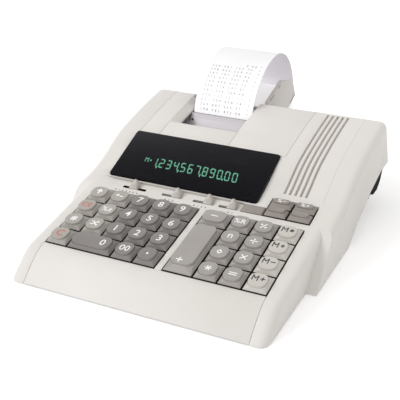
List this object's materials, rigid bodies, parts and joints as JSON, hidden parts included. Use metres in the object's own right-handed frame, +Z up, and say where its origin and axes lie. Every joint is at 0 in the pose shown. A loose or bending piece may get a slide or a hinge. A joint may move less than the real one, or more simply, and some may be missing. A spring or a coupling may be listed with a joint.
{
  "type": "printing calculator",
  "caption": "Desktop printing calculator with a sloped keyboard, slide switches, tube display behind a smoked window, and a paper printer under a hinged cover.",
  "frame": {"origin": "middle of the footprint at table height, under the rubber feet", "axes": "+X to the right of the person who uses it, +Y to the rear where the paper falls, +Z up"},
  "size_m": [0.224, 0.346, 0.1129],
  "materials": {
    "case_plastic": "fine texture, off-white",
    "base_plastic": "fine texture, off-white",
    "smoked_window": "smoked clear sheet, glossy",
    "tube_glass": "clear glass over a dark grid",
    "tear_bar_metal": "brushed",
    "paper": "plain",
    "holder_plastic": "satin, grey-beige",
    "platen_rubber": "ground",
    "black_plastic": "satin",
    "frame_steel": "plated",
    "head_metal": "dark anodised",
    "board_laminate": "laminate",
    "transformer_iron": "varnished",
    "feet_rubber": "matt",
    "switch_plastic": "satin",
    "number_key": "fine texture, grey",
    "function_key": "fine texture, light grey",
    "memory_key": "fine texture, off-white"
  },
  "bodies": {
    "frame": {"display_window": "smoked_window", "display_tube": "tube_glass", "top_case": "case_plastic", "front_panel": "case_plastic", "printer_frame": "frame_steel", "ribbon_cassette": "black_plastic", "tear_bar": "tear_bar_metal", "paper_strip": "paper", "roll_holder": "holder_plastic", "key_board": "board_laminate", "base": "base_plastic", "rubber_feet": "feet_rubber", "transformer": "transformer_iron"},
    "platen_shaft": {"platen": "platen_rubber", "feed_knob": "black_plastic"},
    "roll": {"paper_roll": "paper"},
    "cover": {"printer_cover": "case_plastic"},
    "head": {"print_head": "head_metal"},
    "switch_1": {"switch_knob_1": "switch_plastic"},
    "switch_2": {"switch_knob_2": "switch_plastic"},
    "switch_3": {"switch_knob_3": "switch_plastic"},
    "switch_4": {"switch_knob_4": "switch_plastic"},
    "key_clear_body": {"key_clear": "function_key"},
    "key_double_zero_body": {"key_double_zero": "number_key"},
    "key_point_body": {"key_point": "number_key"},
    "key_number_body": {"key_number": "function_key"},
    "key_exchange_body": {"key_exchange": "function_key"},
    "key_1_body": {"key_1": "number_key"},
    "key_2_body": {"key_2": "number_key"},
    "key_3_body": {"key_3": "number_key"},
    "key_clear_entry_body": {"key_clear_entry": "function_key"},
    "key_markup_body": {"key_markup": "function_key"},
    "key_4_body": {"key_4": "number_key"},
    "key_5_body": {"key_5": "number_key"},
    "key_6_body": {"key_6": "number_key"},
    "key_feed_body": {"key_feed": "function_key"},
    "key_sign_body": {"key_sign": "function_key"},
    "key_7_body": {"key_7": "number_key"},
    "key_8_body": {"key_8": "number_key"},
    "key_9_body": {"key_9": "number_key"},
    "key_0_body": {"key_0": "number_key"},
    "key_total_body": {"key_total": "function_key"},
    "key_equals_body": {"key_equals": "function_key"},
    "key_memory_plus_body": {"key_memory_plus": "memory_key"},
    "key_subtotal_body": {"key_subtotal": "function_key"},
    "key_times_body": {"key_times": "function_key"},
    "key_memory_minus_body": {"key_memory_minus": "memory_key"},
    "key_count_body": {"key_count": "function_key"},
    "key_divide_body": {"key_divide": "function_key"},
    "key_memory_subtotal_body": {"key_memory_subtotal": "memory_key"},
    "key_rate_body": {"key_rate": "function_key"},
    "key_percent_body": {"key_percent": "function_key"},
    "key_memory_total_body": {"key_memory_total": "memory_key"},
    "key_plus_body": {"key_plus": "function_key"},
    "key_minus_body": {"key_minus": "function_key"},
    "key_cost_body": {"key_cost": "function_key"},
    "key_tax_minus_body": {"key_tax_minus": "function_key"},
    "key_sell_body": {"key_sell": "function_key"},
    "key_tax_plus_body": {"key_tax_plus": "function_key"},
    "key_shift_body": {"key_shift": "function_key"}
  },
  "joints": [
    {"name": "platen_turn", "type": "hinge", "parent": "frame", "child": "platen_shaft", "pos_m": [-0.0348, 0.0706, 0.0355], "axis": [1, 0, 0], "continuous": true},
    {"name": "roll_turn", "type": "hinge", "parent": "frame", "child": "roll", "pos_m": [-0.0348, 0.13267, 0.057], "axis": [1, 0, 0], "continuous": true},
    {"name": "cover_open", "type": "hinge", "parent": "frame", "child": "cover", "pos_m": [0, 0.0811, 0.07377], "axis": [-1, 0, 0], "range_deg": [0, 70]},
    {"name": "head_travel", "type": "slide", "parent": "frame", "child": "head", "axis": [1, 0, 0], "range_m": [-0.02, 0.02]},
    {"name": "switch_1_slide", "type": "slide", "parent": "frame", "child": "switch_1", "axis": [1, 0, 0], "range_m": [-0.007, 0.007]},
    {"name": "switch_2_slide", "type": "slide", "parent": "frame", "child": "switch_2", "axis": [1, 0, 0], "range_m": [-0.01, 0]},
    {"name": "switch_3_slide", "type": "slide", "parent": "frame", "child": "switch_3", "axis": [1, 0, 0], "range_m": [-0.01, 0]},
    {"name": "switch_4_slide", "type": "slide", "parent": "frame", "child": "switch_4", "axis": [1, 0, 0], "range_m": [-0.008, 0]},
    {"name": "key_clear_press", "type": "slide", "parent": "frame", "child": "key_clear_body", "axis": [0, 0.1864, -0.9825], "range_m": [0, 0.003], "stiffness_N_per_m": 200, "springref_m": -0.002},
    {"name": "key_double_zero_press", "type": "slide", "parent": "frame", "child": "key_double_zero_body", "axis": [0, 0.1864, -0.9825], "range_m": [0, 0.003], "stiffness_N_per_m": 200, "springref_m": -0.002},
    {"name": "key_point_press", "type": "slide", "parent": "frame", "child": "key_point_body", "axis": [0, 0.1864, -0.9825], "range_m": [0, 0.003], "stiffness_N_per_m": 200, "springref_m": -0.002},
    {"name": "key_number_press", "type": "slide", "parent": "frame", "child": "key_number_body", "axis": [0, 0.1864, -0.9825], "range_m": [0, 0.003], "stiffness_N_per_m": 200, "springref_m": -0.002},
    {"name": "key_exchange_press", "type": "slide", "parent": "frame", "child": "key_exchange_body", "axis": [0, 0.1864, -0.9825], "range_m": [0, 0.003], "stiffness_N_per_m": 200, "springref_m": -0.002},
    {"name": "key_1_press", "type": "slide", "parent": "frame", "child": "key_1_body", "axis": [0, 0.1864, -0.9825], "range_m": [0, 0.003], "stiffness_N_per_m": 200, "springref_m": -0.002},
    {"name": "key_2_press", "type": "slide", "parent": "frame", "child": "key_2_body", "axis": [0, 0.1864, -0.9825], "range_m": [0, 0.003], "stiffness_N_per_m": 200, "springref_m": -0.002},
    {"name": "key_3_press", "type": "slide", "parent": "frame", "child": "key_3_body", "axis": [0, 0.1864, -0.9825], "range_m": [0, 0.003], "stiffness_N_per_m": 200, "springref_m": -0.002},
    {"name": "key_clear_entry_press", "type": "slide", "parent": "frame", "child": "key_clear_entry_body", "axis": [0, 0.1864, -0.9825], "range_m": [0, 0.003], "stiffness_N_per_m": 200, "springref_m": -0.002},
    {"name": "key_markup_press", "type": "slide", "parent": "frame", "child": "key_markup_body", "axis": [0, 0.1864, -0.9825], "range_m": [0, 0.003], "stiffness_N_per_m": 200, "springref_m": -0.002},
    {"name": "key_4_press", "type": "slide", "parent": "frame", "child": "key_4_body", "axis": [0, 0.1864, -0.9825], "range_m": [0, 0.003], "stiffness_N_per_m": 200, "springref_m": -0.002},
    {"name": "key_5_press", "type": "slide", "parent": "frame", "child": "key_5_body", "axis": [0, 0.1864, -0.9825], "range_m": [0, 0.003], "stiffness_N_per_m": 200, "springref_m": -0.002},
    {"name": "key_6_press", "type": "slide", "parent": "frame", "child": "key_6_body", "axis": [0, 0.1864, -0.9825], "range_m": [0, 0.003], "stiffness_N_per_m": 200, "springref_m": -0.002},
    {"name": "key_feed_press", "type": "slide", "parent": "frame", "child": "key_feed_body", "axis": [0, 0.1864, -0.9825], "range_m": [0, 0.003], "stiffness_N_per_m": 200, "springref_m": -0.002},
    {"name": "key_sign_press", "type": "slide", "parent": "frame", "child": "key_sign_body", "axis": [0, 0.1864, -0.9825], "range_m": [0, 0.003], "stiffness_N_per_m": 200, "springref_m": -0.002},
    {"name": "key_7_press", "type": "slide", "parent": "frame", "child": "key_7_body", "axis": [0, 0.1864, -0.9825], "range_m": [0, 0.003], "stiffness_N_per_m": 200, "springref_m": -0.002},
    {"name": "key_8_press", "type": "slide", "parent": "frame", "child": "key_8_body", "axis": [0, 0.1864, -0.9825], "range_m": [0, 0.003], "stiffness_N_per_m": 200, "springref_m": -0.002},
    {"name": "key_9_press", "type": "slide", "parent": "frame", "child": "key_9_body", "axis": [0, 0.1864, -0.9825], "range_m": [0, 0.003], "stiffness_N_per_m": 200, "springref_m": -0.002},
    {"name": "key_0_press", "type": "slide", "parent": "frame", "child": "key_0_body", "axis": [0, 0.1864, -0.9825], "range_m": [0, 0.003], "stiffness_N_per_m": 200, "springref_m": -0.002},
    {"name": "key_total_press", "type": "slide", "parent": "frame", "child": "key_total_body", "axis": [0, 0.1864, -0.9825], "range_m": [0, 0.003], "stiffness_N_per_m": 200, "springref_m": -0.002},
    {"name": "key_equals_press", "type": "slide", "parent": "frame", "child": "key_equals_body", "axis": [0, 0.1864, -0.9825], "range_m": [0, 0.003], "stiffness_N_per_m": 200, "springref_m": -0.002},
    {"name": "key_memory_plus_press", "type": "slide", "parent": "frame", "child": "key_memory_plus_body", "axis": [0, 0.1864, -0.9825], "range_m": [0, 0.003], "stiffness_N_per_m": 200, "springref_m": -0.002},
    {"name": "key_subtotal_press", "type": "slide", "parent": "frame", "child": "key_subtotal_body", "axis": [0, 0.1864, -0.9825], "range_m": [0, 0.003], "stiffness_N_per_m": 200, "springref_m": -0.002},
    {"name": "key_times_press", "type": "slide", "parent": "frame", "child": "key_times_body", "axis": [0, 0.1864, -0.9825], "range_m": [0, 0.003], "stiffness_N_per_m": 200, "springref_m": -0.002},
    {"name": "key_memory_minus_press", "type": "slide", "parent": "frame", "child": "key_memory_minus_body", "axis": [0, 0.1864, -0.9825], "range_m": [0, 0.003], "stiffness_N_per_m": 200, "springref_m": -0.002},
    {"name": "key_count_press", "type": "slide", "parent": "frame", "child": "key_count_body", "axis": [0, 0.1864, -0.9825], "range_m": [0, 0.003], "stiffness_N_per_m": 200, "springref_m": -0.002},
    {"name": "key_divide_press", "type": "slide", "parent": "frame", "child": "key_divide_body", "axis": [0, 0.1864, -0.9825], "range_m": [0, 0.003], "stiffness_N_per_m": 200, "springref_m": -0.002},
    {"name": "key_memory_subtotal_press", "type": "slide", "parent": "frame", "child": "key_memory_subtotal_body", "axis": [0, 0.1864, -0.9825], "range_m": [0, 0.003], "stiffness_N_per_m": 200, "springref_m": -0.002},
    {"name": "key_rate_press", "type": "slide", "parent": "frame", "child": "key_rate_body", "axis": [0, 0.1864, -0.9825], "range_m": [0, 0.003], "stiffness_N_per_m": 200, "springref_m": -0.002},
    {"name": "key_percent_press", "type": "slide", "parent": "frame", "child": "key_percent_body", "axis": [0, 0.1864, -0.9825], "range_m": [0, 0.003], "stiffness_N_per_m": 200, "springref_m": -0.002},
    {"name": "key_memory_total_press", "type": "slide", "parent": "frame", "child": "key_memory_total_body", "axis": [0, 0.1864, -0.9825], "range_m": [0, 0.003], "stiffness_N_per_m": 200, "springref_m": -0.002},
    {"name": "key_plus_press", "type": "slide", "parent": "frame", "child": "key_plus_body", "axis": [0, 0.1864, -0.9825], "range_m": [0, 0.003], "stiffness_N_per_m": 200, "springref_m": -0.002},
    {"name": "key_minus_press", "type": "slide", "parent": "frame", "child": "key_minus_body", "axis": [0, 0.1864, -0.9825], "range_m": [0, 0.003], "stiffness_N_per_m": 200, "springref_m": -0.002},
    {"name": "key_cost_press", "type": "slide", "parent": "frame", "child": "key_cost_body", "axis": [0, 0.1864, -0.9825], "range_m": [0, 0.0024], "stiffness_N_per_m": 200, "springref_m": -0.002},
    {"name": "key_tax_minus_press", "type": "slide", "parent": "frame", "child": "key_tax_minus_body", "axis": [0, 0.1864, -0.9825], "range_m": [0, 0.0024], "stiffness_N_per_m": 200, "springref_m": -0.002},
    {"name": "key_sell_press", "type": "slide", "parent": "frame", "child": "key_sell_body", "axis": [0, 0.1864, -0.9825], "range_m": [0, 0.0024], "stiffness_N_per_m": 200, "springref_m": -0.002},
    {"name": "key_tax_plus_press", "type": "slide", "parent": "frame", "child": "key_tax_plus_body", "axis": [0, 0.1864, -0.9825], "range_m": [0, 0.0024], "stiffness_N_per_m": 200, "springref_m": -0.002},
    {"name": "key_shift_press", "type": "slide", "parent": "frame", "child": "key_shift_body", "axis": [0, 0.1864, -0.9825], "range_m": [0, 0.0018], "stiffness_N_per_m": 200, "springref_m": -0.002}
  ],
  "couplings": [
    {"joint": "roll_turn", "follows": "platen_turn", "ratio": -0.42222}
  ]
}
